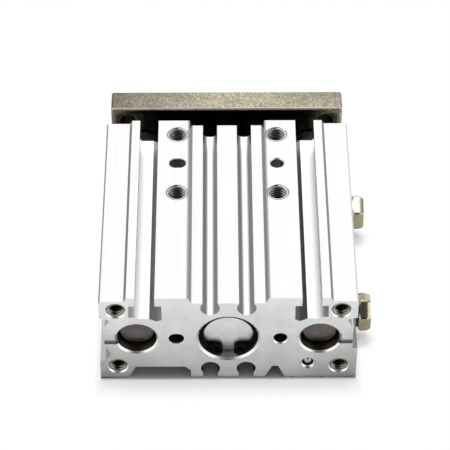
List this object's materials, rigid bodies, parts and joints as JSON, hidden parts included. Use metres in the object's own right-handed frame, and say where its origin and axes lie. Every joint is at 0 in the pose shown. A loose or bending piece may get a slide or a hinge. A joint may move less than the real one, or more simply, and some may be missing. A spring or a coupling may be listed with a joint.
{
  "type": "guided pneumatic cylinder",
  "caption": "Compact guided pneumatic cylinder: extruded body with T-slots, two guide rods and a piston rod that drive a steel tooling plate, side ports plugged.",
  "frame": {"origin": "centre of the rear mounting face, on the piston axis", "axes": "+Y along the stroke from the rear face to the tooling plate, +Z from the underside to the T-slotted face, +X to the side with the port plugs"},
  "size_m": [0.0618, 0.072, 0.026],
  "materials": {
    "anodised_aluminium": "clear anodised, satin",
    "plated_steel": "nickel plated, fine grain",
    "chromed_rod": "hard chromed and ground",
    "cover_aluminium": "turned, satin",
    "black_spring_steel": "phosphated",
    "plated_brass": "nickel plated, bright",
    "black_rubber": "matt",
    "bush_bronze": "sintered",
    "magnet": "moulded",
    "black_screw": "oxide black",
    "ball_steel": "ground"
  },
  "bodies": {
    "cylinder": {"body": "anodised_aluminium", "rod_cover": "cover_aluminium", "rod_cover_o_ring": "black_rubber", "rod_bush": "bush_bronze", "rod_seal": "black_rubber", "front_retaining_ring": "black_spring_steel", "rear_retaining_ring": "black_spring_steel", "head_cover": "cover_aluminium", "head_cover_o_ring": "black_rubber", "rear_bumper": "black_rubber", "front_bumper": "black_rubber", "front_guide_bush_left": "bush_bronze", "front_guide_bush_right": "bush_bronze", "rear_guide_bush_left": "bush_bronze", "rear_guide_bush_right": "bush_bronze", "rear_port_plug": "plated_brass", "front_port_plug": "plated_brass", "rear_plug_gasket": "black_rubber", "front_plug_gasket": "black_rubber", "passage_ball": "ball_steel"},
    "carriage": {"tooling_plate": "plated_steel", "guide_rod_left": "chromed_rod", "guide_rod_right": "chromed_rod", "piston_rod": "chromed_rod", "piston": "cover_aluminium", "piston_seal": "black_rubber", "magnet_ring": "magnet", "piston_rod_screw": "black_screw", "guide_rod_screw_left": "black_screw", "guide_rod_screw_right": "black_screw"}
  },
  "joints": [
    {"name": "stroke", "type": "slide", "parent": "cylinder", "child": "carriage", "axis": [0, 1, 0], "range_m": [0, 0.03]}
  ]
}
